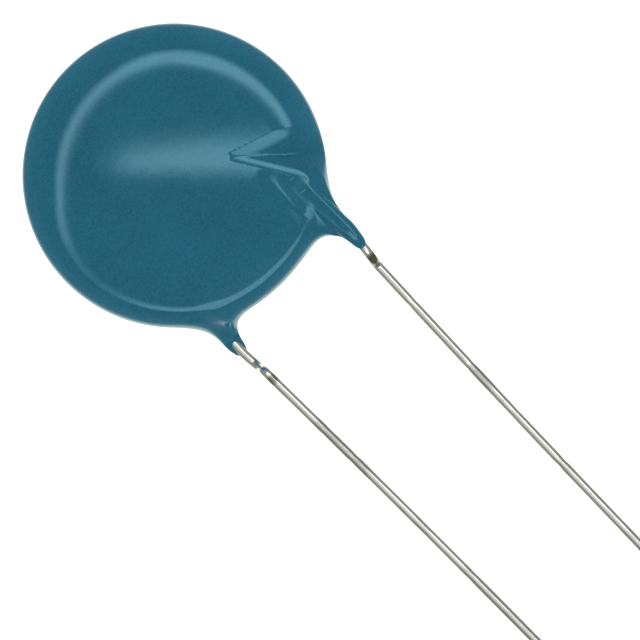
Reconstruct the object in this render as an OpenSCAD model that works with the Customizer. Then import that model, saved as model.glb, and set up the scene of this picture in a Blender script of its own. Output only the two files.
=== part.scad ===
// Radial ceramic disc capacitor, epoxy dipped, with cranked wire leads.
// The disc lies in the XY plane with its front face up, and the leads run out along -Y.
// The origin is midway between the leads at the seating plane, where the cranks end.

/* [Ceramic disc] */
// Diameter of the ceramic tablet
ceramic_d = 17.2; // [16:0.1:22]
// Thickness of the ceramic tablet
ceramic_t = 2.4; // [1.8:0.1:4]
// Bevel on the tablet's edges
ceramic_bevel = 0.2; // [0.1:0.05:0.4]

/* [Electrodes] */
// Bare ceramic left around each silver film
electrode_margin = 0.8; // [0.4:0.1:0.9]
// Thickness of each silver film
electrode_t = 0.05; // [0.03:0.01:0.1]

/* [Leads] */
// Wire diameter
wire_d = 0.6; // [0.5:0.05:0.8]
// Distance between the two leads at the seating plane
lead_pitch = 10; // [7.5:0.5:11]
// Length of each straight run, from the seating plane to the cut end
lead_len = 30; // [20:0.5:40]
// Angle by which each lead leans in towards the other
lead_closing = 1; // [0:0.1:1.5]
// Distance from the disc's centre to the seating plane
seat_drop = 13.8; // [13.6:0.1:18]
// Sideways distance of the leads' middle line from the disc's centre
pair_shift = 0.37; // [0:0.01:0.6]
// Slope of the crank against the straight run
crank_angle = 75; // [60:1:80]
// Bend radius at the wire's centre line
bend_r = 0.5; // [0.42:0.02:0.6]
// Length of wire laid over the silver film
lead_lap = 3.4; // [3:0.1:4.5]
// Bevel on the wire's cut ends
cut_bevel = 0.05; // [0.02:0.01:0.1]

/* [Solder] */
// Width of each solder joint across its wire
solder_w = 2.4; // [1.8:0.1:2.6]
// Height of each solder joint over the silver film
solder_h = 0.5; // [0.4:0.05:0.6]
// Solder left between the wire and the silver film
solder_film = 0.05; // [0.03:0.01:0.1]
// Solder past the wire's inner end
solder_lap = 0.6; // [0.4:0.1:1]
// Length of each solder joint along its wire
solder_len = 3; // [2.8:0.1:3.2]

/* [Epoxy coating] */
// Epoxy over each face of the disc, above the silver film
face_cover = 0.85; // [0.75:0.05:1.2]
// Epoxy round the edge of the tablet
rim_cover = 1.3; // [1:0.1:2]
// How far the rim's rounding reaches in from the edge, on average
rim_reach = 2.8; // [2:0.1:3.5]
// Share by which that reach grows away from the leads and shrinks beside them
rim_sag = 0.4; // [0:0.05:0.45]
// Epoxy over the wire where it crosses the disc
wire_cover = 0.35; // [0.3:0.05:0.5]
// How far the ridge over each wire reaches in from the rim
ridge_len = 4.4; // [3:0.1:5]
// Half the width of the ridge over each wire, at its foot
ridge_w = 1.6; // [1.2:0.1:2]
// Half the width of the neck where it leaves the rim
neck_w = 1.5; // [1.2:0.1:2]
// How far the front neck reaches past the rim along its lead
front_neck = 3.7; // [2.5:0.1:3.8]
// How far the back neck reaches past the rim along its lead
back_neck = 3.2; // [2.5:0.1:3.8]
// Epoxy left round the wire at the neck's tip
tip_wall = 0.06; // [0.04:0.01:0.1]

/* [Hidden] */
$fn = 64;
disc_sides = 128;

front = 1;
back = -1;
wire_r = wire_d / 2;

// Heights above the disc's middle plane
film_z = ceramic_t / 2;
silver_z = film_z + electrode_t;
wire_z = silver_z + solder_film + wire_r;
face_z = silver_z + face_cover;
ridge_z = wire_z + wire_r + wire_cover;

// Radii in plan, about the disc's centre
electrode_r = ceramic_d / 2 - electrode_margin;
coat_r = ceramic_d / 2 + rim_cover;

// The crank takes the wire from the middle plane up to the buried run
bend_rise = bend_r * (1 - cos(crank_angle));
bend_run = bend_r * sin(crank_angle);
slant_len = (wire_z - 2 * bend_rise) / sin(crank_angle);
crank_run = 2 * bend_run + slant_len * cos(crank_angle);

// The wire swells a little where it was gripped for bending, and its runs and bends end inside the swellings
bend_swell = 0.01;
run_trim = 0.02;
bend_trim = 2;

// The solder joint is the cap of a round bar that lies along the wire
solder_r = (pow(solder_w / 2, 2) + pow(solder_h, 2)) / (2 * solder_h);
solder_z = silver_z + solder_h - solder_r;

// The coating's skin is a grid of columns round the disc and rows from its front to its back
columns = 96;
plateau_rows = 3;
rim_rows = 8;
last_row = 2 * plateau_rows + 2 * rim_rows - 1;

// Each neck grows out of a window in that grid, ring by ring
column_w = 2 * PI * coat_r / columns;
window_half = max(2, round(neck_w / column_w));
window_top = plateau_rows + 2;
window_foot = plateau_rows + rim_rows + 1;
neck_rings = 12;
blend_rings = 4;
ring_crowding = 1.3;

// The ridges' rise from the face, and the necks' taper to a thin wall round the wire
ridge_rise = 1.5;
nose_share = 0.4;
tip_r = wire_r + tip_wall;

// How far a lead's line passes from the disc's centre, and where circles cross that line
function line_offset(side) = abs(side * lead_pitch / 2 + pair_shift) * cos(lead_closing)
    + seat_drop * sin(lead_closing);
function centre_y(side) = seat_drop * cos(lead_closing)
    - abs(side * lead_pitch / 2 + pair_shift) * sin(lead_closing);
function chord_past(side, r) = sqrt(pow(r, 2) - pow(line_offset(side), 2));
function crossing_y(side, r) = centre_y(side) - chord_past(side, r);
function rim_y(side) = crossing_y(side, coat_r);
function wire_end_y(side) = crossing_y(side, electrode_r) + lead_lap;
function neck_len(side) = side == front ? front_neck : back_neck;

// A lead's own frame: Y along the wire towards the disc, Z from the middle plane to its face
module along_lead(side) {
    translate([side * lead_pitch / 2, 0, 0])
        rotate([0, 0, -side * lead_closing])
            mirror([0, 0, side == front ? 0 : 1])
                children();
}

module at_disc() {
    translate([-pair_shift, seat_drop, 0]) children();
}

// A round bar along Y, bevelled at its ends where asked
module wire_run(from, to, bevel_from, bevel_to) {
    run = to - from;
    translate([0, from, 0])
        rotate([-90, 0, 0])
            rotate_extrude()
                polygon([[0, 0], [wire_r - bevel_from, 0], [wire_r, bevel_from],
                         [wire_r, run - bevel_to], [wire_r - bevel_to, run], [0, run]]);
}

// A bend that leaves the origin along +Y and turns up, with the wire a little swollen at both its ends
module wire_bend() {
    translate([0, 0, bend_r])
        rotate([0, 90, 0]) {
            rotate([0, 0, bend_trim])
                rotate_extrude(angle = crank_angle - 2 * bend_trim)
                    translate([bend_r, 0]) circle(r = wire_r);
            for (a = [0, crank_angle])
                rotate([0, 0, a]) translate([bend_r, 0, 0]) sphere(r = wire_r + bend_swell);
        }
}

module lead_wire(side) {
    along_lead(side) {
        wire_run(-lead_len, -run_trim, cut_bevel, 0);
        wire_bend();
        translate([0, bend_run, bend_rise])
            rotate([crank_angle, 0, 0])
                wire_run(run_trim, slant_len - run_trim, 0, 0);
        translate([0, crank_run, wire_z])
            rotate([180, 0, 0])
                wire_bend();
        translate([0, 0, wire_z])
            wire_run(crank_run + run_trim, wire_end_y(side), 0, cut_bevel);
    }
}

module ceramic_blank() {
    at_disc()
        rotate_extrude($fn = disc_sides)
            polygon([[0, -film_z], [ceramic_d / 2 - ceramic_bevel, -film_z],
                     [ceramic_d / 2, -film_z + ceramic_bevel],
                     [ceramic_d / 2, film_z - ceramic_bevel],
                     [ceramic_d / 2 - ceramic_bevel, film_z], [0, film_z]]);
}

module silver_film(side) {
    at_disc()
        translate([0, 0, side == front ? film_z : -silver_z])
            cylinder(r = electrode_r, h = electrode_t, $fn = disc_sides);
}

// A long low mound with round ends, flat on the silver
module solder_mound(side) {
    to = wire_end_y(side) + solder_lap - solder_w / 2;
    from = to - (solder_len - solder_w);
    along_lead(side)
        intersection() {
            translate([0, 0, solder_z]) {
                translate([0, from, 0]) rotate([-90, 0, 0]) cylinder(r = solder_r, h = to - from);
                translate([0, from, 0]) sphere(r = solder_r);
                translate([0, to, 0]) sphere(r = solder_r);
            }
            translate([-solder_w, from - solder_w, silver_z])
                cube([2 * solder_w, to - from + 2 * solder_w, 2 * solder_h]);
        }
}

module solder_joint(side) {
    difference() {
        solder_mound(side);
        lead_wire(side);
    }
}

// Smooth step from 0 to 1
function ease(u) = let (t = min(1, max(0, u))) t * t * (3 - 2 * t);

// Between the world and a lead's own frame
function to_lead(p, side) = let (a = -side * lead_closing, x = p[0] - side * lead_pitch / 2)
    [cos(a) * x + sin(a) * p[1], cos(a) * p[1] - sin(a) * x, side * p[2]];
function from_lead(q, side) = let (a = -side * lead_closing)
    [side * lead_pitch / 2 + cos(a) * q[0] - sin(a) * q[1], sin(a) * q[0] + cos(a) * q[1], side * q[2]];

// Radius and height of a row on the dipped disc, at angle a about the disc's centre
function reach_at(a) = rim_reach * (1 + rim_sag * sin(a));
function flat_r(a) = coat_r - reach_at(a);
function row_slope(row) = 90 - 90 * (row - plateau_rows) / rim_rows;
function row_profile(row, a) =
    row < plateau_rows ? [flat_r(a) * row / plateau_rows, face_z]
    : row > plateau_rows + 2 * rim_rows
        ? [flat_r(a) * (last_row + 1 - row) / plateau_rows, -face_z]
        : [flat_r(a) + reach_at(a) * cos(row_slope(row)), face_z * sin(row_slope(row))];

// How much of the ridge over the nearer wire is felt at a point, from 0 to 1
function ridge_share(p) = let (side = p[2] < 0 ? back : front, q = to_lead(p, side),
                               across = q[0] / ridge_w, over = rim_y(side) + ridge_len - q[1])
    abs(across) > 1 ? 0 : pow(1 - across * across, 2) * ease(over / ridge_rise);
function raised(p) = let (top = p[2] < 0 ? -ridge_z : ridge_z)
    [p[0], p[1], p[2] + (top - p[2]) * ridge_share(p)];
function skin_point(row, column) = let (a = 360 * column / columns, rz = row_profile(row, a))
    raised([rz[0] * cos(a) - pair_shift, seat_drop + rz[0] * sin(a), rz[1]]);

// The window's edge: grid places in order round it, for the neck on one side
function window_rows(side) = side == front
    ? [window_top, window_foot] : [last_row + 1 - window_foot, last_row + 1 - window_top];
function window_middle(side) = round(columns / 360 *
    atan2(-chord_past(side, coat_r), side * line_offset(side)));
function window_edge(side) = let (rows = window_rows(side), middle = window_middle(side),
                                  left = middle - window_half, right = middle + window_half) concat(
    [for (c = [left : right - 1]) [rows[0], c]], [for (r = [rows[0] : rows[1] - 1]) [r, right]],
    [for (c = [right : -1 : left + 1]) [rows[1], c]], [for (r = [rows[1] : -1 : rows[0] + 1]) [r, left]]);

// Share of a neck's spread that is left at u, from 0 at the rim to 1 at its tip
function round_off(u) = sqrt(max(0, 1 - u * u));
function neck_taper(u) = nose_share * round_off(u) + (1 - nose_share) * pow(max(0, 1 - u), 5);

// Half width, height and depth of the epoxy about its wire, at share u of a neck's length
function neck_spread(u) = [
    tip_r + (neck_w - tip_r) * neck_taper(u),
    tip_r + (ridge_z - wire_z - tip_r) * round_off(u),
    tip_r + (wire_z - tip_r) * neck_taper(u)];

// Ring number k of a neck, which starts from the window's edge
function neck_ring(k, side) = let (u = 1 - pow(1 - k / neck_rings, ring_crowding), w = neck_spread(u),
                                   y = rim_y(side) - u * neck_len(side), b = min(1, k / blend_rings)) [
    for (place = window_edge(side))
        let (edge = to_lead(skin_point(place[0], place[1]), side), a = atan2(edge[2] - wire_z, edge[0]),
             ring = [w[0] * cos(a), y, wire_z + (sin(a) > 0 ? w[1] : w[2]) * sin(a)])
            from_lead(edge * (1 - b) + ring * b, side)];

// Numbers of the skin's points: the grid first, then the two poles, then the necks' rings
pole = last_row * columns;
edge_count = 4 * window_half + 2 * (window_foot - window_top);
function grid_number(row, column) = (row - 1) * columns + (column + columns) % columns;
function ring_start(k, side) = pole + 2 + ((side == front ? 0 : neck_rings) + k - 1) * edge_count;

// Two triangles for a quad whose corners run clockwise as seen from outside
function quad(a, b, c, d) = [[a, b, c], [a, c, d]];
function in_window(row, column, side) = let (rows = window_rows(side))
    row >= rows[0] && row < rows[1]
    && (column - window_middle(side) + window_half + 2 * columns) % columns < 2 * window_half;

function neck_faces(side) = let (
    edge = [for (place = window_edge(side)) grid_number(place[0], place[1])],
    rings = concat([edge], [for (k = [1 : neck_rings]) [for (j = [0 : edge_count - 1])
        ring_start(k, side) + j]])) concat(
    [for (k = [0 : neck_rings - 1], j = [0 : edge_count - 1]) let (n = (j + 1) % edge_count)
        each quad(rings[k][j], rings[k][n], rings[k + 1][n], rings[k + 1][j])],
    [rings[neck_rings]]);

// The whole outside of the coating, as one closed skin
module coat_skin() {
    points = concat(
        [for (row = [1 : last_row], column = [0 : columns - 1]) skin_point(row, column)],
        [[-pair_shift, seat_drop, face_z], [-pair_shift, seat_drop, -face_z]],
        [for (side = [front, back], k = [1 : neck_rings]) each neck_ring(k, side)]);
    faces = concat(
        [for (row = [1 : last_row - 1], column = [0 : columns - 1])
            if (!in_window(row, column, front) && !in_window(row, column, back))
                each quad(grid_number(row, column), grid_number(row, column + 1),
                          grid_number(row + 1, column + 1), grid_number(row + 1, column))],
        [for (column = [0 : columns - 1]) [pole, grid_number(1, column + 1), grid_number(1, column)]],
        [for (column = [0 : columns - 1])
            [pole + 1, grid_number(last_row, column), grid_number(last_row, column + 1)]],
        neck_faces(front), neck_faces(back));
    polyhedron(points, faces);
}

module ceramic_disc() {
    color("tan") ceramic_blank();
}

module front_electrode() {
    color("silver") silver_film(front);
}

module back_electrode() {
    color("silver") silver_film(back);
}

module front_solder() {
    color("lightslategray") solder_joint(front);
}

module back_solder() {
    color("lightslategray") solder_joint(back);
}

module front_lead() {
    color("gainsboro") lead_wire(front);
}

module back_lead() {
    color("gainsboro") lead_wire(back);
}

module epoxy_coating() {
    color([0.13, 0.38, 0.46])
        difference() {
            coat_skin();
            ceramic_blank();
            for (side = [front, back]) {
                silver_film(side);
                solder_mound(side);
                lead_wire(side);
            }
        }
}

ceramic_disc();
front_electrode();
back_electrode();
front_solder();
back_solder();
front_lead();
back_lead();
epoxy_coating();
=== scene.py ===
import math

import bmesh
import bpy
import numpy as np
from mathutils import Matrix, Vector


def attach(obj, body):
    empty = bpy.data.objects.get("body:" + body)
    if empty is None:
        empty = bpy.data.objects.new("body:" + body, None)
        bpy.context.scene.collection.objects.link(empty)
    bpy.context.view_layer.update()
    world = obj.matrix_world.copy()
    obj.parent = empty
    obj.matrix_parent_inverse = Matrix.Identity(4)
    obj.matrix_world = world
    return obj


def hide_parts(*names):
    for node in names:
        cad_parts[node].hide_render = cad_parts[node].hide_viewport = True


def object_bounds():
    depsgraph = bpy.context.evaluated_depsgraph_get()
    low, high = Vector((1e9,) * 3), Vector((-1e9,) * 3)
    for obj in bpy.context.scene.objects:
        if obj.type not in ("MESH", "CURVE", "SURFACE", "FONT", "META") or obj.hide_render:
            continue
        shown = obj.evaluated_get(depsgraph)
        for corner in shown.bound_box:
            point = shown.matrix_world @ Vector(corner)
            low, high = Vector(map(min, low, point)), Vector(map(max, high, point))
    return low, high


# a ceramic disc capacitor: blue dipped epoxy, two tinned leads, and the pieces inside
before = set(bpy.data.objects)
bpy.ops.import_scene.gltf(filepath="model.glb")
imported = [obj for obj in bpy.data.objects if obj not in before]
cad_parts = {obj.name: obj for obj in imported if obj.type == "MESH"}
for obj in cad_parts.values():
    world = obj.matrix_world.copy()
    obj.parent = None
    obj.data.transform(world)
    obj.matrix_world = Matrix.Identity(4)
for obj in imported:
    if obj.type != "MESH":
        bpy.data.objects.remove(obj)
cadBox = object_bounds()
print("frame loaded:", sorted(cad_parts))

mm = 0.001
front, back = 1, -1

# places that every piece shares, in millimetres
disc = {
    "centreX": -0.37,        # from the point midway between the leads
    "centreY": 13.8,
    "radius": 9.9,
    "faceHeight": 2.2,       # half the coated thickness in the middle
    "domeRadius": 2500.0,    # the faces are very slightly domed
}

lead = {
    "pitch": 10.0,
    "closing": math.radians(1.0),
    "wireRadius": 0.3,
    "buriedHeight": 1.6,     # wire over the middle plane, where it lies on the disc
    "crankAngle": math.radians(74.0),
    "bendRadius": 0.45,      # where the crank leaves the straight run
    "upperBend": 0.92,       # where it meets the run on the disc
    "crankStart": 0.24,
    "length": 30.0,
    "innerEnd": 8.9,         # how far the wire runs up over the disc
    "bow": 0.07,             # the straight runs sag a little towards each other
    "bowSpan": 24.0,
}

# the photograph's axes on the floor, for the camera and the lamps
imageRight = Vector((0.717, -0.697, 0.0))
imageUp = Vector((0.697, 0.717, 0.0))


# small helpers

def smoothRamp(x, start, stop):
    t = np.clip((x - start) / (stop - start), 0.0, 1.0)
    return t * t * (3.0 - 2.0 * t)


def softMin(a, b, width):
    h = np.clip(0.5 + 0.5 * (b - a) / width, 0.0, 1.0)
    return a * h + b * (1.0 - h) - width * h * (1.0 - h)


def softMax(a, b, width):
    return -softMin(-a, -b, width)


def smoothCurve(knots, x):
    # a smooth line through a few knots, level past both ends
    k = np.array(knots, float)
    kx, ky = k[:, 0], k[:, 1]
    slope = np.gradient(ky, kx)
    slope[0] = slope[-1] = 0.0
    x = np.clip(x, kx[0], kx[-1])
    i = np.clip(np.searchsorted(kx, x, side="right") - 1, 0, len(kx) - 2)
    span = kx[i + 1] - kx[i]
    t = (x - kx[i]) / span
    return ((2 * t**3 - 3 * t**2 + 1) * ky[i] + (t**3 - 2 * t**2 + t) * span * slope[i]
            + (3 * t**2 - 2 * t**3) * ky[i + 1] + (t**3 - t**2) * span * slope[i + 1])


def toLead(x, y, side):
    # outward distance from a lead's line, and distance along it towards the disc
    a = -side * lead["closing"]
    dx = x - side * lead["pitch"] / 2
    return side * (math.cos(a) * dx + math.sin(a) * y), math.cos(a) * y - math.sin(a) * dx


def fromLead(out, along, height, side):
    a = -side * lead["closing"]
    across = side * out
    return Vector((side * lead["pitch"] / 2 + math.cos(a) * across - math.sin(a) * along,
                   math.sin(a) * across + math.cos(a) * along, side * height))


def addNode(tree, kind, inputs=(), **settings):
    node = tree.nodes.new(kind)
    for name, value in settings.items():
        setattr(node, name, value)
    for socket, value in dict(inputs).items():
        target = node.inputs[socket]
        if isinstance(value, bpy.types.NodeSocket):
            tree.links.new(value, target)
        else:
            target.default_value = value
    return node


def maths(tree, operation, *values):
    return addNode(tree, "ShaderNodeMath", dict(enumerate(values)), operation=operation).outputs[0]


def rampNode(tree, value, start, stop, low=0.0, high=1.0):
    return addNode(tree, "ShaderNodeMapRange",
                   {"Value": value, "From Min": start, "From Max": stop, "To Min": low, "To Max": high},
                   interpolation_type="SMOOTHSTEP").outputs["Result"]


def mixColour(tree, factor, a, b, blend="MIX"):
    return addNode(tree, "ShaderNodeMix", {0: factor, 6: a, 7: b}, data_type="RGBA",
                   blend_type=blend).outputs[2]


def newMaterial(name):
    material = bpy.data.materials.new(name)
    material.use_nodes = True
    tree = material.node_tree
    return material, tree, tree.nodes["Principled BSDF"]


def noiseNode(tree, vector, scale, detail=3.0, roughness=0.55):
    return addNode(tree, "ShaderNodeTexNoise", {"Vector": vector, "Scale": scale, "Detail": detail,
                                                "Roughness": roughness}).outputs["Fac"]


def stretchNode(tree, vector, scale, turn):
    return addNode(tree, "ShaderNodeMapping",
                   {"Vector": vector, "Scale": scale, "Rotation": (0.0, 0.0, turn)}).outputs[0]


def spanNode(tree, value, start, stop, ends):
    # one between start and stop, with soft ends that are given as offsets from them
    rise, fall = ends
    return maths(tree, "MULTIPLY", rampNode(tree, value, start + rise[0], start + rise[1]),
                 rampNode(tree, value, stop + fall[0], stop + fall[1]))


def addBump(tree, shader, height, strength, distance):
    bump = addNode(tree, "ShaderNodeBump", {"Height": height, "Strength": strength, "Distance": distance})
    tree.links.new(bump.outputs["Normal"], shader.inputs["Normal"])


# epoxy coating

coating = {
    "gridStep": 0.12,
    "searchLow": (-10.9, 1.2, -2.7),    # corners of the grid that the skin is looked for in
    "searchHigh": (10.2, 24.3, 2.7),
    "relaxRounds": 3,
    "relaxShare": 0.6,
    "projectRounds": 5,
    "longestMove": 0.15,
    # how far the rim's rounding reaches in, by the direction from the disc's centre in degrees
    "reach": [(-107, 1.1), (-90, 1.05), (-70, 0.95), (-50, 1.25), (-30, 2.4), (-10, 2.65), (5, 2.85),
              (45, 3.15), (90, 3.5), (135, 3.3), (180, 1.9), (225, 1.35), (253, 1.1)],
    "onset": 0.19,           # how gently the rounding sets in, as a share of its reach
    # the epoxy webs out between the disc and the inner side of each neck
    "webFront": 0.85,
    "webBack": 0.35,
    "webPlace": -0.75,
    "webSpread": 0.95,       # how slowly it thins out towards the middle, and past its place
    "webFade": 0.7,
    "webAlong": (8.0, 6.0),  # from none to full, by the distance along the lead
    # the sunken corner outside each lead: its point and its two edges, in the lead's own frame
    "dipCorner": (-2.38, 12.26),
    "dipEndEdge": (0.960, -0.279),
    "dipSideEdge": (0.542, -0.840),
    # its slope right at an edge, how much steeper it gets, and over what distance
    "dipEnd": (0.10, 0.45, 1.2),
    "dipSide": (0.06, 0.80, 0.9),
    "dipValley": 0.05,
    "dipBreak": 0.13,        # how far the edges are rounded over
    # the shallow gutter on the inner side of each ridge
    "gutterDepth": 0.036,
    "gutterPlace": -1.30,
    "gutterWidth": 0.52,
    "gutterAlong": (10.2, 6.5),
    # the ridge and neck over each wire, by the distance along the lead: the top's flat half width,
    # the rounding beside it, the height over the wire's middle and the depth below it, and how far
    # it lies outward
    "neckFlat": [(1.9, 0.0), (2.4, 0.03), (2.9, 0.08), (3.5, 0.14), (4.3, 0.20), (6.0, 0.30),
                 (7.5, 0.34)],
    "neckRound": [(1.9, 0.34), (2.4, 0.40), (2.9, 0.43), (3.5, 0.45), (4.3, 0.42), (6.0, 0.36),
                  (7.5, 0.32)],
    "neckTop": [(1.9, 0.32), (2.3, 0.45), (2.6, 0.55), (3.1, 0.60), (3.8, 0.60), (6.6, 0.60), (7.4, 0.60),
                (8.6, 0.54)],
    "neckBelow": [(1.9, 0.34), (2.6, 0.38), (3.3, 0.50), (4.2, 0.90), (5.5, 1.5), (7.0, 1.6)],
    "neckShift": [(0.4, 0.02), (1.2, 0.10), (2.2, 0.17), (3.3, 0.15), (4.4, 0.06), (6.0, -0.06),
                  (8.0, -0.14)],
    "neckStart": 7.2,
    "neckCap": 2.1,
    "neckTipFront": (1.98, -1.1),   # where it ends on the wire, and the end's slant
    "neckTipBack": (2.75, -1.9),
    "neckTipRound": 0.3,
    "neckTipLimit": 0.4,
    # how softly necks and disc run together, on the face and low down at the rim
    "fillOnFace": 0.12,
    "fillAtRim": 1.8,
    "fillFrom": (8.0, 9.6),  # by the distance from the disc's centre
    "fillHeight": (2.1, 1.5),
}


def dipDepth(beyond, lip, extra, onset):
    # how deep the sunken corner is, past one of its edges
    d = softMax(beyond, 0.0, coating["dipBreak"])
    return lip * d + extra * np.where(d < onset, d * d / (2 * onset), d - onset / 2)


def faceHeight(x, y, side):
    # the plateau with its dome, its sunken quarter beside the lead, and the gutter on the other side
    c = coating
    out, along = toLead(x, y, side)
    rho2 = (x - disc["centreX"])**2 + (y - disc["centreY"])**2
    top = disc["faceHeight"] - rho2 / (2 * disc["domeRadius"])
    cornerOut, cornerAlong = c["dipCorner"]
    dx, dy = out - cornerOut, along - cornerAlong
    endX, endY = c["dipEndEdge"]
    sideX, sideY = c["dipSideEdge"]
    beyondEnd = dx * endY - dy * endX
    beyondSide = -dx * sideY + dy * sideX
    dip = softMin(dipDepth(beyondEnd, *c["dipEnd"]), dipDepth(beyondSide, *c["dipSide"]), c["dipValley"])
    gutter = (c["gutterDepth"] * np.exp(-((out - c["gutterPlace"]) / c["gutterWidth"])**2)
              * smoothRamp(along, *c["gutterAlong"]))
    return top - np.maximum(dip, 0.0) - gutter


def neckField(x, y, z, side):
    c = coating
    out, along = toLead(x, y, side)
    v = side * z - lead["buriedHeight"]
    flat, rounding, above, below, shift = (smoothCurve(c[name], along) for name in (
        "neckFlat", "neckRound", "neckTop", "neckBelow", "neckShift"))
    tip, slant = c["neckTipFront"] if side == front else c["neckTipBack"]
    tipAlong = tip + slant * np.clip(v, -c["neckTipLimit"], c["neckTipLimit"])
    capIn = np.maximum(0.0, (tipAlong + c["neckTipRound"] - along) / c["neckTipRound"])
    capOut = np.maximum(0.0, (along - c["neckStart"]) / c["neckCap"])
    height = np.where(v > 0, above, below)
    a, b = np.maximum(0.0, np.abs(out - shift) - flat) / rounding, v / height
    f = np.sqrt(a * a + b * b + capIn**2 + capOut**2) + 1e-9
    steep = np.sqrt((a / rounding)**2 + (b / height)**2 + (capIn / c["neckTipRound"])**2
                    + (capOut / c["neckCap"])**2) + 1e-9
    return (f - 1.0) * f / steep


def coatField(points):
    # below zero inside the epoxy, above zero outside, about in millimetres
    c = coating
    x, y, z = points[:, 0], points[:, 1], points[:, 2]
    dx, dy = x - disc["centreX"], y - disc["centreY"]
    rho = np.sqrt(dx * dx + dy * dy) + 1e-9
    first = c["reach"][0][0]
    bearing = (np.degrees(np.arctan2(dy, dx)) - first) % 360.0 + first
    reach = smoothCurve(c["reach"], bearing)
    web = 0.0
    for side, amount in ((front, c["webFront"]), (back, c["webBack"])):
        out, along = toLead(x, y, side)
        past = out - c["webPlace"]
        shape = np.where(past < 0, np.exp(past / c["webSpread"]), np.exp(-(past / c["webFade"])**2))
        web = web + amount * shape * smoothRamp(along, *c["webAlong"])
    half = np.where(z > 0, faceHeight(x, y, front), faceHeight(x, y, back))
    q = softMax(0.0, (rho - disc["radius"] + reach) / (reach + web), c["onset"])
    reach = reach + web
    h = np.abs(z) / half
    f = np.sqrt(q * q + h * h) + 1e-9
    steep = np.sqrt((q / reach)**2 + (h / half)**2) + 1e-9
    body = (f - 1.0) * f / steep
    low = smoothRamp(rho, *c["fillFrom"]) * smoothRamp(np.abs(z), *c["fillHeight"])
    fill = c["fillOnFace"] + (c["fillAtRim"] - c["fillOnFace"]) * low
    return softMin(softMin(body, neckField(x, y, z, front), fill), neckField(x, y, z, back), fill)


def fieldSlope(points, step=0.004):
    slope = np.empty_like(points)
    for axis in range(3):
        offset = np.zeros(3)
        offset[axis] = step
        slope[:, axis] = (coatField(points + offset) - coatField(points - offset)) / (2 * step)
    return slope


def ontoSkin(points, rounds):
    for _ in range(rounds):
        slope = fieldSlope(points)
        size = np.maximum((slope**2).sum(1), 1e-6)
        move = coatField(points)[:, None] * slope / size[:, None]
        length = np.linalg.norm(move, axis=1, keepdims=True)
        points = points - move * np.minimum(1.0, coating["longestMove"] / np.maximum(length, 1e-9))
    return points


def skinMesh():
    # cells that the skin passes through each give a point, and cells round a crossed edge give a face
    step = coating["gridStep"]
    low, high = np.array(coating["searchLow"]), np.array(coating["searchHigh"])
    counts = np.ceil((high - low) / step).astype(int) + 1
    axes = [low[i] + step * np.arange(counts[i]) for i in range(3)]
    values = np.empty(counts)
    for i, xValue in enumerate(axes[0]):
        yy, zz = np.meshgrid(axes[1], axes[2], indexing="ij")
        slab = np.column_stack([np.full(yy.size, xValue), yy.ravel(), zz.ravel()])
        values[i] = coatField(slab).reshape(yy.shape)
    inside = values < 0
    cells = tuple(counts - 1)
    total = np.zeros(cells + (3,))
    hits = np.zeros(cells)

    def corner(d):
        return tuple(slice(d[i], d[i] + cells[i]) for i in range(3))

    base = np.stack(np.meshgrid(*[a[:-1] for a in axes], indexing="ij"), axis=-1)
    for axis in range(3):
        others = [i for i in range(3) if i != axis]
        for p in (0, 1):
            for q in (0, 1):
                start = [0, 0, 0]
                start[others[0]], start[others[1]] = p, q
                stop = list(start)
                stop[axis] = 1
                a, b = values[corner(start)], values[corner(stop)]
                crossed = inside[corner(start)] != inside[corner(stop)]
                share = np.where(crossed, a / np.where(crossed, a - b, 1.0), 0.0)
                place = base + np.array(start) * step
                place[..., axis] += share * step
                total += np.where(crossed[..., None], place, 0.0)
                hits += crossed
    used = hits > 0
    number = -np.ones(cells, int)
    number[used] = np.arange(used.sum())
    points = total[used] / hits[used][:, None]
    faces = []
    for axis in range(3):
        one, two = [i for i in range(3) if i != axis]
        along = [slice(1, counts[i] - 1) for i in range(3)]
        along[axis] = slice(0, counts[axis] - 1)
        nxt = list(along)
        nxt[axis] = slice(1, counts[axis])
        here, there = inside[tuple(along)], inside[tuple(nxt)]
        at = np.argwhere(here != there) + np.array([s.start for s in along])
        flip = here[here != there]
        ring = []
        for p, q in ((-1, -1), (0, -1), (0, 0), (-1, 0)):
            cell = at.copy()
            cell[:, one] += p
            cell[:, two] += q
            ring.append(number[cell[:, 0], cell[:, 1], cell[:, 2]])
        quads = np.stack(ring, axis=1)
        turn = flip if axis != 1 else ~flip
        quads[~turn] = quads[~turn][:, ::-1]
        faces.append(quads)
    return points, np.concatenate(faces)


def relaxed(points, quads, rounds):
    # evens the points out over the skin
    share = coating["relaxShare"]
    edges = np.concatenate([quads[:, [0, 1]], quads[:, [1, 2]], quads[:, [2, 3]], quads[:, [3, 0]]])
    for _ in range(rounds):
        mean = np.zeros_like(points)
        count = np.zeros(len(points))
        for a, b in ((0, 1), (1, 0)):
            np.add.at(mean, edges[:, a], points[edges[:, b]])
            np.add.at(count, edges[:, a], 1)
        points = ontoSkin((1.0 - share) * points + share * mean / count[:, None], 2)
    return points


def buildCoating(material):
    points, quads = skinMesh()
    points = relaxed(ontoSkin(points, coating["projectRounds"]), quads, coating["relaxRounds"])
    slope = fieldSlope(points)
    normals = slope / np.linalg.norm(slope, axis=1, keepdims=True)
    mesh = bpy.data.meshes.new("dippedCoating")
    mesh.from_pydata((points * mm).tolist(), [], quads.tolist())
    mesh.validate()
    mesh.polygons.foreach_set("use_smooth", np.ones(len(mesh.polygons), bool))
    mesh.normals_split_custom_set_from_vertices(normals.tolist())
    mesh.materials.append(material)
    obj = bpy.data.objects.new("dippedCoating", mesh)
    bpy.context.scene.collection.objects.link(obj)
    print("coating:", len(points), "points,", len(quads), "quads")
    return obj


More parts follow.
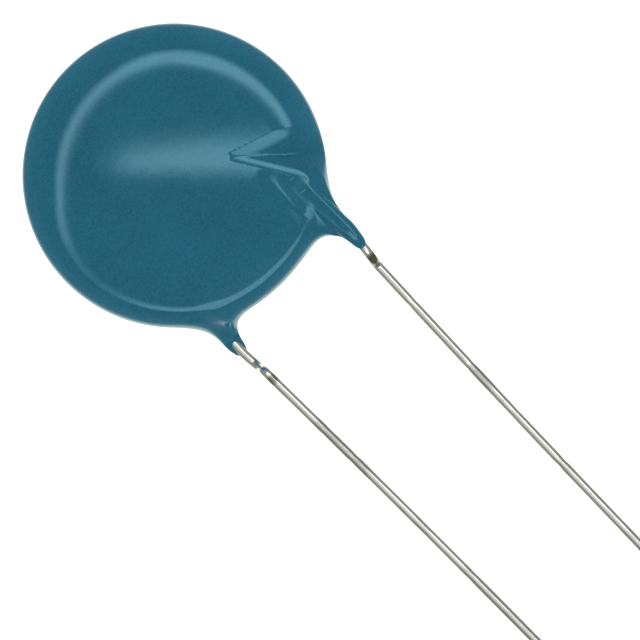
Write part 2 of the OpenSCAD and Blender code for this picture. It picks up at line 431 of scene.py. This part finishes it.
epoxyLook = {
    "colour": (0.0155, 0.203, 0.348, 1.0),
    "darker": (0.0085, 0.126, 0.224, 1.0),
    "speck": (0.006, 0.030, 0.042, 1.0),
    "tint": (0.42, 0.84, 1.0, 1.0),
    "roughness": 0.02,
    "roughnessSpread": 0.01,
    "ior": 2.0,
    "cloudScale": 260.0,     # per metre, as all the scales are
    "grainScale": 8500.0,
    "grainShare": 0.7,
    "contrast": (0.32, 0.68),
    "speckScale": 330.0,
    "speckRarity": 0.86,
    "speckSize": 0.055,
    "speckStrength": 0.75,
    "skinScale": 900.0,
    "skinShare": 0.8,
    "bump": 0.002,
    "bumpDistance": 0.0001,
}


def epoxyMaterial():
    look = epoxyLook
    material, tree, shader = newMaterial("blueEpoxy")
    place = addNode(tree, "ShaderNodeTexCoord").outputs["Object"]
    cloud = noiseNode(tree, place, look["cloudScale"], detail=4.0, roughness=0.6)
    grain = noiseNode(tree, place, look["grainScale"], detail=2.0, roughness=0.7)
    blend = maths(tree, "ADD", maths(tree, "MULTIPLY", cloud, 1.0 - look["grainShare"]),
                  maths(tree, "MULTIPLY", grain, look["grainShare"]))
    body = mixColour(tree, rampNode(tree, blend, *look["contrast"]), look["darker"], look["colour"])
    # a few dark specks, each in a cell of its own
    cells = addNode(tree, "ShaderNodeTexVoronoi", {"Vector": place, "Scale": look["speckScale"]},
                    feature="F1")
    pick = addNode(tree, "ShaderNodeSeparateColor", {"Color": cells.outputs["Color"]}).outputs[0]
    size = rampNode(tree, pick, look["speckRarity"], 1.0, 0.0, look["speckSize"])
    speck = maths(tree, "LESS_THAN", cells.outputs["Distance"], size)
    body = mixColour(tree, maths(tree, "MULTIPLY", speck, look["speckStrength"]), body, look["speck"])
    tree.links.new(body, shader.inputs["Base Color"])
    spread = maths(tree, "MULTIPLY_ADD", cloud, look["roughnessSpread"],
                   look["roughness"] - look["roughnessSpread"] / 2)
    tree.links.new(spread, shader.inputs["Roughness"])
    shader.inputs["IOR"].default_value = look["ior"]
    shader.inputs["Specular Tint"].default_value = look["tint"]
    skin = noiseNode(tree, place, look["skinScale"], detail=3.0, roughness=0.5)
    height = maths(tree, "ADD", maths(tree, "MULTIPLY", skin, look["skinShare"]),
                   maths(tree, "MULTIPLY", grain, 1.0 - look["skinShare"]))
    addBump(tree, shader, height, look["bump"], look["bumpDistance"])
    return material


coat = buildCoating(epoxyMaterial())
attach(coat, "root")
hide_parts("epoxy_coating")


# tinned leads

wireShape = {
    "sides": 32,
    "straightStep": 0.2,
    "bendSteps": 14,
    "slantSteps": 5,
    "waviness": 0.006,       # millimetres
    "wavinessScale": 420.0,  # per metre
    "cutBevel": 0.06,
    # nicks from handling: (distance past the seating plane, length, depth as a share of the radius)
    "nicksFront": [(2.95, 0.25, 0.10), (8.5, 0.22, 0.10), (17.1, 0.30, 0.12), (12.6, 0.5, 0.04)],
    "nicksBack": [(5.2, 0.4, 0.05), (7.5, 0.2, 0.08), (14.0, 0.5, 0.05), (18.3, 0.3, 0.08)],
}

wireLook = {
    "bright": (0.93, 0.93, 0.91, 1.0),
    "dull": (0.50, 0.50, 0.47, 1.0),
    # colour of the painted dark reflection on the crank's bends
    "stain": (0.20, 0.165, 0.12, 1.0),
    "roughness": 0.16,
    "dullRoughness": 0.42,
    "streakScale": (9000.0, 700.0, 9000.0),     # drawn out along the wire
    "streakRoughness": 0.10,
    "streakContrast": (0.30, 0.62, 0.45, 1.0),
    "streakBump": 0.12,
    "streakDepth": 0.00002,
    "patchScale": 900.0,
    "patchContrast": (0.56, 0.78, 0.0, 0.45),
    # how a dull stretch, or the painted dark reflection at the crank, sets in and fades out, in millimetres
    "dullEnds": ((-0.3, 0.5), (0.4, -0.6)),
    "stainEnds": ((-0.12, 0.12), (0.15, -0.15)),
    # dull stretches: from, to, and how dull
    "dullFront": [(8.4, 10.6, 0.9), (16.6, 18.2, 0.5), (23.0, 26.0, 0.4)],
    "dullBack": [(3.9, 9.1, 0.9), (13.0, 14.6, 0.5), (17.4, 30.0, 0.6)],
    # painted dark reflection at the crank: a brownish dark laid on its bends, where they reflect dark
    # surroundings; from, to, and how strong
    "stainFront": (-1.35, -0.60, 0.9),
    "stainBack": (-0.15, 0.45, 0.7),
}


def wireLine(side):
    # points from the cut end, up the crank, to the inner end on the disc: (place, radius, distance)
    r, upper, turn = lead["bendRadius"], lead["upperBend"], lead["crankAngle"]
    rise, run = r * (1 - math.cos(turn)), r * math.sin(turn)
    slant = (lead["buriedHeight"] - rise - upper * (1 - math.cos(turn))) / math.sin(turn)
    bevel, step, start = wireShape["cutBevel"], wireShape["straightStep"], lead["crankStart"]
    crankRun = start + run + upper * math.sin(turn) + slant * math.cos(turn)
    marks = [-lead["length"], -lead["length"] + bevel]
    marks += list(np.arange(-lead["length"] + step, start - step / 2, step))
    line = [(m, 0.0) for m in marks]
    n = wireShape["bendSteps"]
    for i in range(n + 1):
        t = turn * i / n
        line.append((start + r * math.sin(t), r * (1 - math.cos(t))))
    rows = wireShape["slantSteps"]
    for i in range(1, rows):
        line.append((start + run + slant * math.cos(turn) * i / rows,
                     rise + slant * math.sin(turn) * i / rows))
    for i in range(n + 1):
        t = turn * (1 - i / n)
        line.append((crankRun - upper * math.sin(t), lead["buriedHeight"] - upper * (1 - math.cos(t))))
    line += [(a, lead["buriedHeight"]) for a in np.arange(crankRun + step, lead["innerEnd"], step)]
    line.append((lead["innerEnd"], lead["buriedHeight"]))
    nicks = wireShape["nicksFront"] if side == front else wireShape["nicksBack"]
    points = []
    for k, (along, height) in enumerate(line):
        sag = 0.0
        if along < 0:
            sag = -lead["bow"] * math.sin(math.pi * min(-along, lead["bowSpan"]) / lead["bowSpan"])
        shift = float(smoothCurve(coating["neckShift"], np.array([along]))[0])
        share = 1.0 - sum(d * math.exp(-((-along - at) / w)**2) for at, w, d in nicks)
        if k == 0:
            share -= bevel / lead["wireRadius"]
        points.append((fromLead(sag + shift, along, height, side), lead["wireRadius"] * share, -along))
    return points


def drawnWireTree():
    tree = bpy.data.node_groups.new("drawnWire", "GeometryNodeTree")
    face = tree.interface
    sockets = {}
    for name, kind in (("Line", "NodeSocketGeometry"), ("Sides", "NodeSocketInt"),
                       ("Waviness", "NodeSocketFloat"), ("Waviness Scale", "NodeSocketFloat"),
                       ("Seed", "NodeSocketFloat"), ("Finish", "NodeSocketMaterial")):
        sockets[name] = face.new_socket(name=name, in_out="INPUT", socket_type=kind).identifier
    face.new_socket(name="Wire", in_out="OUTPUT", socket_type="NodeSocketGeometry")
    given = tree.nodes.new("NodeGroupInput").outputs
    profile = addNode(tree, "GeometryNodeCurvePrimitiveCircle",
                      {"Resolution": given["Sides"], "Radius": mm})
    radius = addNode(tree, "GeometryNodeInputRadius").outputs[0]
    tube = addNode(tree, "GeometryNodeCurveToMesh",
                   {"Curve": given["Line"], "Profile Curve": profile.outputs["Curve"], "Scale": radius,
                    "Fill Caps": True}).outputs[0]
    place = addNode(tree, "GeometryNodeInputPosition").outputs[0]
    moved = addNode(tree, "ShaderNodeVectorMath", {0: place, 1: given["Seed"]}, operation="ADD").outputs[0]
    noise = addNode(tree, "ShaderNodeTexNoise",
                    {"Vector": moved, "Scale": given["Waviness Scale"], "Detail": 2.0}).outputs["Fac"]
    amount = maths(tree, "MULTIPLY", maths(tree, "SUBTRACT", noise, 0.5), given["Waviness"])
    normal = addNode(tree, "GeometryNodeInputNormal").outputs[0]
    offset = addNode(tree, "ShaderNodeVectorMath", {0: normal, "Scale": amount},
                     operation="SCALE").outputs[0]
    wavy = addNode(tree, "GeometryNodeSetPosition", {"Geometry": tube, "Offset": offset}).outputs[0]
    smooth = addNode(tree, "GeometryNodeSetShadeSmooth", {"Geometry": wavy}).outputs[0]
    real = addNode(tree, "GeometryNodeRealizeInstances", {"Geometry": smooth}).outputs[0]
    done = addNode(tree, "GeometryNodeSetMaterial",
                   {"Geometry": real, "Material": given["Finish"]}).outputs[0]
    out = tree.nodes.new("NodeGroupOutput")
    tree.links.new(done, out.inputs[0])
    return tree, sockets


def wireMaterial(name, dullStretches, paintedCrankDarkSpan, turn):
    look = wireLook
    material, tree, shader = newMaterial(name)
    place = addNode(tree, "ShaderNodeTexCoord").outputs["Object"]
    along = addNode(tree, "ShaderNodeAttribute", attribute_name="alongWire").outputs["Fac"]
    streaks = noiseNode(tree, stretchNode(tree, place, look["streakScale"], turn), 1.0,
                        detail=3.0, roughness=0.65)
    patches = noiseNode(tree, place, look["patchScale"], detail=3.0, roughness=0.6)
    dull = rampNode(tree, patches, *look["patchContrast"])
    streaked = rampNode(tree, streaks, *look["streakContrast"])
    for start, stop, amount in dullStretches:
        stretch = maths(tree, "MULTIPLY", spanNode(tree, along, start, stop, look["dullEnds"]), amount)
        dull = maths(tree, "MAXIMUM", dull, maths(tree, "MULTIPLY", stretch, streaked))
    # painted dark reflection: the crank's bends are darkened to a brownish colour over a fixed stretch
    start, stop, amount = paintedCrankDarkSpan
    stain = maths(tree, "MULTIPLY", spanNode(tree, along, start, stop, look["stainEnds"]), amount)
    colour = mixColour(tree, stain, mixColour(tree, dull, look["bright"], look["dull"]), look["stain"])
    tree.links.new(colour, shader.inputs["Base Color"])
    rough = maths(tree, "MULTIPLY_ADD", dull, look["dullRoughness"] - look["roughness"],
                  look["roughness"] - look["streakRoughness"] / 2)
    rough = maths(tree, "MULTIPLY_ADD", streaks, look["streakRoughness"], rough)
    tree.links.new(rough, shader.inputs["Roughness"])
    shader.inputs["Metallic"].default_value = 1.0
    addBump(tree, shader, streaks, look["streakBump"], look["streakDepth"])
    return material


def buildLead(name, side, tree, sockets, material, seed):
    points = wireLine(side)
    curve = bpy.data.curves.new(name + "Line", "CURVE")
    curve.dimensions = "3D"
    spline = curve.splines.new("POLY")
    spline.points.add(len(points) - 1)
    for point, (place, radius, _) in zip(spline.points, points):
        point.co = (*(place * mm), 1.0)
        point.radius = radius
    holder = bpy.data.objects.new(name + "Line", curve)
    bpy.context.scene.collection.objects.link(holder)
    modifier = holder.modifiers.new("drawnWire", "NODES")
    modifier.node_group = tree
    modifier[sockets["Sides"]] = wireShape["sides"]
    modifier[sockets["Waviness"]] = wireShape["waviness"] * mm
    modifier[sockets["Waviness Scale"]] = wireShape["wavinessScale"]
    modifier[sockets["Seed"]] = seed
    modifier[sockets["Finish"]] = material
    bpy.context.view_layer.update()
    shown = holder.evaluated_get(bpy.context.evaluated_depsgraph_get())
    mesh = bpy.data.meshes.new_from_object(shown)
    mesh.name = name
    # each ring keeps how far along the wire it lies, for the dull stretches
    distance = np.repeat([d for _, _, d in points], wireShape["sides"]).astype(np.float32)
    mark = mesh.attributes.new("alongWire", "FLOAT", "POINT")
    mark.data.foreach_set("value", distance[:len(mesh.vertices)])
    obj = bpy.data.objects.new(name, mesh)
    bpy.context.scene.collection.objects.link(obj)
    bpy.data.objects.remove(holder)
    print(name + ":", len(mesh.vertices), "points")
    return obj


wireTree, wireSockets = drawnWireTree()
for side, word, node, seed in ((front, "front", "front_lead", 0.37), (back, "back", "back_lead", 0.81)):
    ending = word.capitalize()
    # each wire's crank gets its painted dark reflection here
    finish = wireMaterial(word + "TinnedWire", wireLook["dull" + ending], wireLook["stain" + ending],
                          side * lead["closing"])
    wire = buildLead(word + "Wire", side, wireTree, wireSockets, finish, seed)
    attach(wire, "root")
    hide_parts(node)


# pieces inside the coating

insideLook = {
    "ceramic": {"light": (0.62, 0.47, 0.33, 1.0), "dark": (0.50, 0.36, 0.24, 1.0),
                "metallic": 0.0, "roughness": 0.62, "scale": 900.0},
    "silver": {"light": (0.86, 0.85, 0.82, 1.0), "dark": (0.66, 0.65, 0.62, 1.0),
               "metallic": 1.0, "roughness": 0.42, "scale": 1600.0},
    "solder": {"light": (0.70, 0.71, 0.72, 1.0), "dark": (0.48, 0.49, 0.50, 1.0),
               "metallic": 1.0, "roughness": 0.30, "scale": 700.0},
}
insideGrain = {
    "fineness": 6.0,         # times the mottling's scale
    "contrast": (0.3, 0.7),
    "roughnessSpread": 0.2,
    "bump": 0.3,
    "bumpDistance": 0.00002,
}


def insideMaterial(name):
    look, grain = insideLook[name], insideGrain
    material, tree, shader = newMaterial(name + "Inside")
    place = addNode(tree, "ShaderNodeTexCoord").outputs["Object"]
    mottle = noiseNode(tree, place, look["scale"], detail=4.0, roughness=0.6)
    fine = noiseNode(tree, place, look["scale"] * grain["fineness"], detail=2.0)
    tree.links.new(mixColour(tree, rampNode(tree, mottle, *grain["contrast"]), look["dark"], look["light"]),
                   shader.inputs["Base Color"])
    tree.links.new(maths(tree, "MULTIPLY_ADD", fine, grain["roughnessSpread"],
                         look["roughness"] - grain["roughnessSpread"] / 2), shader.inputs["Roughness"])
    shader.inputs["Metallic"].default_value = look["metallic"]
    addBump(tree, shader, fine, grain["bump"], grain["bumpDistance"])
    return material


joint = {
    "along": 7.75,           # middle of the solder, along the lead
    "length": 1.25,          # half length, half width and height
    "width": 0.52,
    "height": 0.58,
    "base": 1.26,            # just over the silver
    "rings": 14,
    "points": 28,
}


def buildJoint(name, side, material):
    # half an egg of solder on the silver, with the wire through it
    rows, count = joint["rings"], joint["points"]
    corners = []
    for i in range(rows + 1):
        t = math.pi / 2 * i / rows
        for k in range(count):
            turn = 2 * math.pi * k / count
            corners.append(fromLead(joint["width"] * math.cos(t) * math.cos(turn),
                                    joint["along"] + joint["length"] * math.cos(t) * math.sin(turn),
                                    joint["base"] + joint["height"] * math.sin(t), side) * mm)
    faces = [tuple(reversed(range(count)))]
    for i in range(rows):
        for k in range(count):
            faces.append((i * count + k, i * count + (k + 1) % count,
                          (i + 1) * count + (k + 1) % count, (i + 1) * count + k))
    mesh = bpy.data.meshes.new(name)
    mesh.from_pydata(corners, [], faces)
    work = bmesh.new()
    work.from_mesh(mesh)
    bmesh.ops.remove_doubles(work, verts=work.verts, dist=1e-7)
    bmesh.ops.recalc_face_normals(work, faces=work.faces)
    work.to_mesh(mesh)
    work.free()
    mesh.shade_smooth()
    mesh.materials.append(material)
    obj = bpy.data.objects.new(name, mesh)
    bpy.context.scene.collection.objects.link(obj)
    return obj


insideNodes = {
    "ceramic": ["ceramic_disc"],
    "silver": ["front_electrode", "back_electrode"],
}
for name, nodes in insideNodes.items():
    finish = insideMaterial(name)
    for node in nodes:
        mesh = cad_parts[node].data
        mesh.materials.clear()
        mesh.materials.append(finish)
solderFinish = insideMaterial("solder")
for side, node in ((front, "front_solder"), (back, "back_solder")):
    solder = buildJoint("frontJoint" if side == front else "backJoint", side, solderFinish)
    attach(solder, "root")
    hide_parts(node)
print("inner pieces finished")


# floor, light and camera

stageLook = {
    "floorHalf": 1.5,        # metres
    "floorGlow": 0.95,
    "floorColour": (0.92, 0.92, 0.91, 1.0),
    "floorRoughness": 0.9,
    "backdrop": (0.93, 0.93, 0.92, 1.0),
}

studio = {
    "centre": (-0.0164, 0.0163),        # where the lamps are centred, right and up
    # by the direction in the picture, from -180 at the left, in degrees from straight up: where the
    # ring of lamps begins, where it is full and where it ends, and its strength
    "ringStart": [(-180, 0.5), (-100, 0.5), (-76, 0.9), (-42, 0.9), (-20, 8), (0, 14), (14, 12),
                  (30, 4), (45, 0.5), (180, 0.5)],
    "ringFull": [(-180, 24), (-105, 20), (-86, 12), (-74, 3), (-46, 3), (-22, 20), (0, 28),
                 (14, 28), (45, 26), (80, 18), (100, 24), (180, 24)],
    "ringEnd": [(-180, 25), (-135, 42), (-90, 38), (-60, 36), (-12, 37), (45, 37), (90, 36), (135, 27),
                (180, 25)],
    "ringShare": [(-180, 1.0), (-158, 0.5), (-135, 0.22), (-112, 0.5), (-90, 0.85), (-42, 0.75), (-24, 0.5),
                  (-14, 0.25), (-4, 0.4), (8, 1.0), (90, 1.1), (180, 1.0)],
    "ringSoft": 8.0,
    "ringLight": 1.50,
    "stripLight": 1.62,
    "stripLow": (-0.001, 0.002),    # the strip's lower and upper edges, each from faint to full
    "stripHigh": (0.009, 0.003),
    "stripLeft": (-0.014, -0.006),
    "stripRight": (0.020, 0.015),
    "stripSlant": 0.32,                # it narrows to the left
    "stripTaper": (0.009, 0.0),
    "dark": (0.27, 0.27, 0.235, 1.0),
    "table": (1.0, 1.05, 0.92, 1.0),
    "tableStart": (130.0, 150.0),
}


def buildFloor():
    low, half = cadBox[0].z, stageLook["floorHalf"]
    mesh = bpy.data.meshes.new("studioFloor")
    mesh.from_pydata([(-half, -half, low), (half, -half, low), (half, half, low), (-half, half, low)],
                     [], [(0, 1, 2, 3)])
    floor = bpy.data.objects.new("studioFloor", mesh)
    bpy.context.scene.collection.objects.link(floor)
    material, tree, shader = newMaterial("paleFloor")
    shader.inputs["Base Color"].default_value = stageLook["floorColour"]
    shader.inputs["Roughness"].default_value = stageLook["floorRoughness"]
    shader.inputs["Specular IOR Level"].default_value = 0.0
    shader.inputs["Emission Color"].default_value = stageLook["floorColour"]
    shader.inputs["Emission Strength"].default_value = stageLook["floorGlow"]
    mesh.materials.append(material)
    floor.visible_glossy = False


def byDirection(tree, azimuth, knots):
    # a value that changes round the horizon, through its knots
    node = tree.nodes.new("ShaderNodeFloatCurve")
    most = max(value for _, value in knots)
    points = node.mapping.curves[0].points
    while len(points) < len(knots):
        points.new(0.5, 0.5)
    for point, (degrees, value) in zip(points, knots):
        point.location = ((degrees + 180.0) / 360.0, value / most)
        point.handle_type = "AUTO_CLAMPED"
    node.mapping.update()
    tree.links.new(maths(tree, "MULTIPLY_ADD", azimuth, 1 / 360.0, 0.5), node.inputs["Value"])
    return maths(tree, "MULTIPLY", node.outputs[0], most)


def buildStudio():
    s = studio
    world = bpy.data.worlds.new("softStudio")
    bpy.context.scene.world = world
    world.use_nodes = True
    tree = world.node_tree
    tree.nodes.clear()
    way = addNode(tree, "ShaderNodeTexCoord").outputs["Generated"]

    def dot(axis):
        return addNode(tree, "ShaderNodeVectorMath", {0: way, 1: axis},
                       operation="DOT_PRODUCT").outputs["Value"]

    right = maths(tree, "SUBTRACT", dot(imageRight), s["centre"][0])
    up = maths(tree, "SUBTRACT", dot(imageUp), s["centre"][1])
    height = dot((0.0, 0.0, 1.0))
    flat = maths(tree, "SQRT", maths(tree, "ADD", maths(tree, "MULTIPLY", right, right),
                                     maths(tree, "MULTIPLY", up, up)))
    angle = maths(tree, "DEGREES", maths(tree, "ARCTAN2", flat, height))
    azimuth = maths(tree, "DEGREES", maths(tree, "ARCTAN2", up, right))
    # a ring of lamps round the lens, weaker in places, and a strip lamp beside the lens
    past = maths(tree, "SUBTRACT", angle, byDirection(tree, azimuth, s["ringEnd"]))
    start, full = byDirection(tree, azimuth, s["ringStart"]), byDirection(tree, azimuth, s["ringFull"])
    ring = maths(tree, "MULTIPLY", rampNode(tree, angle, start, full),
                 rampNode(tree, past, s["ringSoft"], -s["ringSoft"]))
    ring = maths(tree, "MULTIPLY", ring, byDirection(tree, azimuth, s["ringShare"]))
    strip = maths(tree, "MULTIPLY", rampNode(tree, up, *s["stripLow"]), rampNode(tree, up, *s["stripHigh"]))
    strip = maths(tree, "MULTIPLY", strip, rampNode(tree, right, *s["stripLeft"]))
    strip = maths(tree, "MULTIPLY", strip, rampNode(tree, right, *s["stripRight"]))
    slant = maths(tree, "MULTIPLY_ADD", right, -s["stripSlant"], s["stripSlant"] * s["stripLeft"][1])
    strip = maths(tree, "MULTIPLY", strip, rampNode(tree, maths(tree, "ADD", up, slant), *s["stripTaper"]))
    strip = maths(tree, "MULTIPLY", strip, maths(tree, "GREATER_THAN", height, 0.0))
    light = maths(tree, "ADD", maths(tree, "MULTIPLY", ring, s["ringLight"]),
                  maths(tree, "MULTIPLY", strip, s["stripLight"]))
    lamps = addNode(tree, "ShaderNodeCombineColor", {0: light, 1: light, 2: light}).outputs[0]
    below = rampNode(tree, angle, *s["tableStart"])
    around = mixColour(tree, below, s["dark"], s["table"])
    total = mixColour(tree, 1.0, around, lamps, "ADD")
    seen = addNode(tree, "ShaderNodeLightPath").outputs["Is Camera Ray"]
    total = mixColour(tree, seen, total, stageLook["backdrop"])
    background = addNode(tree, "ShaderNodeBackground", {"Color": total, "Strength": 1.0})
    out = addNode(tree, "ShaderNodeOutputWorld")
    tree.links.new(background.outputs[0], out.inputs["Surface"])


view = {
    "centre": (-0.14, 0.48),        # what the middle of the picture looks at
    "width": 41.6,
    "lens": 500.0,
    "sensor": 36.0,
    "clip": (0.01, 10.0),
}


def buildCamera():
    data = bpy.data.cameras.new("overheadCamera")
    data.lens, data.sensor_width = view["lens"], view["sensor"]
    distance = view["width"] * view["lens"] / view["sensor"]
    camera = bpy.data.objects.new("overheadCamera", data)
    bpy.context.scene.collection.objects.link(camera)
    camera.location = Vector((view["centre"][0], view["centre"][1], distance)) * mm
    camera.rotation_euler = (0.0, 0.0, math.atan2(imageRight.y, imageRight.x))
    data.clip_start, data.clip_end = view["clip"]
    bpy.context.scene.camera = camera


buildFloor()
buildStudio()
buildCamera()
bpy.context.scene.view_settings.view_transform = "Standard"
bpy.context.scene.view_settings.look = "None"
print("stage, light and camera set")
